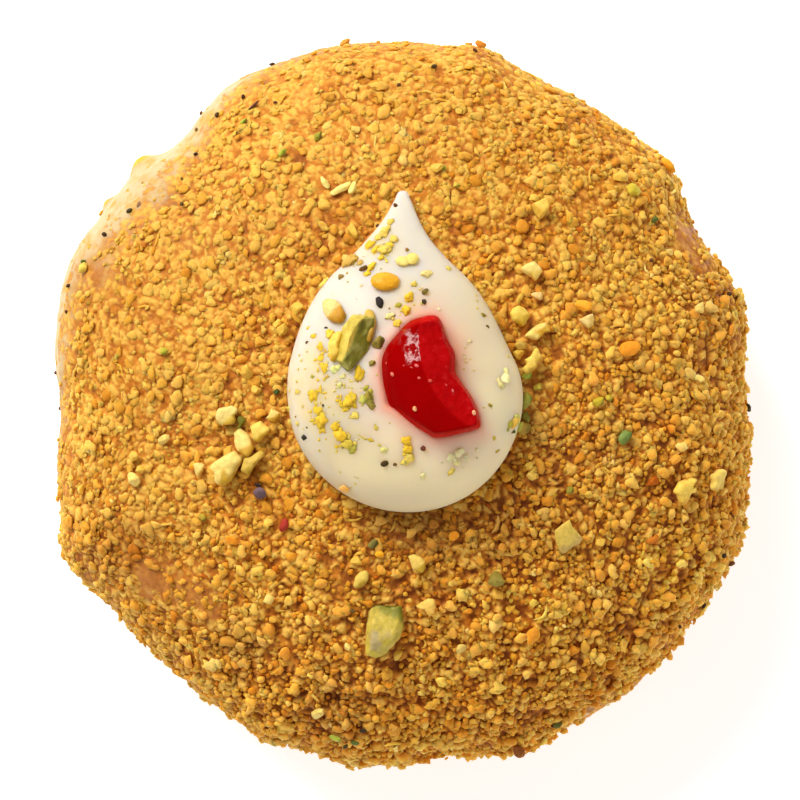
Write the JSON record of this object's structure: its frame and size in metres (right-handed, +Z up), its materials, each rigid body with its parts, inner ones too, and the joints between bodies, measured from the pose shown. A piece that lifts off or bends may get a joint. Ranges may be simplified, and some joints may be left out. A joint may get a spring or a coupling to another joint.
{
  "type": "kadayif pastry",
  "caption": "Round domed pastry in a toasted crumb coat, topped with a piped teardrop of cream, a piece of candied cherry and chopped pistachio. Rests on its flat base.",
  "frame": {"origin": "middle of the flat base, under the middle of the pastry's outline seen from above", "axes": "+Z up, +Y towards the tip of the cream's tail, +X to the right seen from above with the tail pointing up"},
  "size_m": [0.0966, 0.1007, 0.0546],
  "materials": {
    "crumb_crust": "golden toasted crumbs on a glazed brown crust, pale where the dough shows",
    "cream": "smooth piped cream, satin, slightly translucent",
    "cherry": "glossy translucent candied cherry with a paler cut edge",
    "pistachio": "chopped pistachio, dark green skin and pale yellow-green flesh"
  },
  "bodies": {
    "root": {"bun": "crumb_crust", "cream": "cream", "cherry": "cherry", "pistachio_on_cream": "pistachio", "pistachio_on_crumbs": "pistachio"}
  },
  "joints": []
}
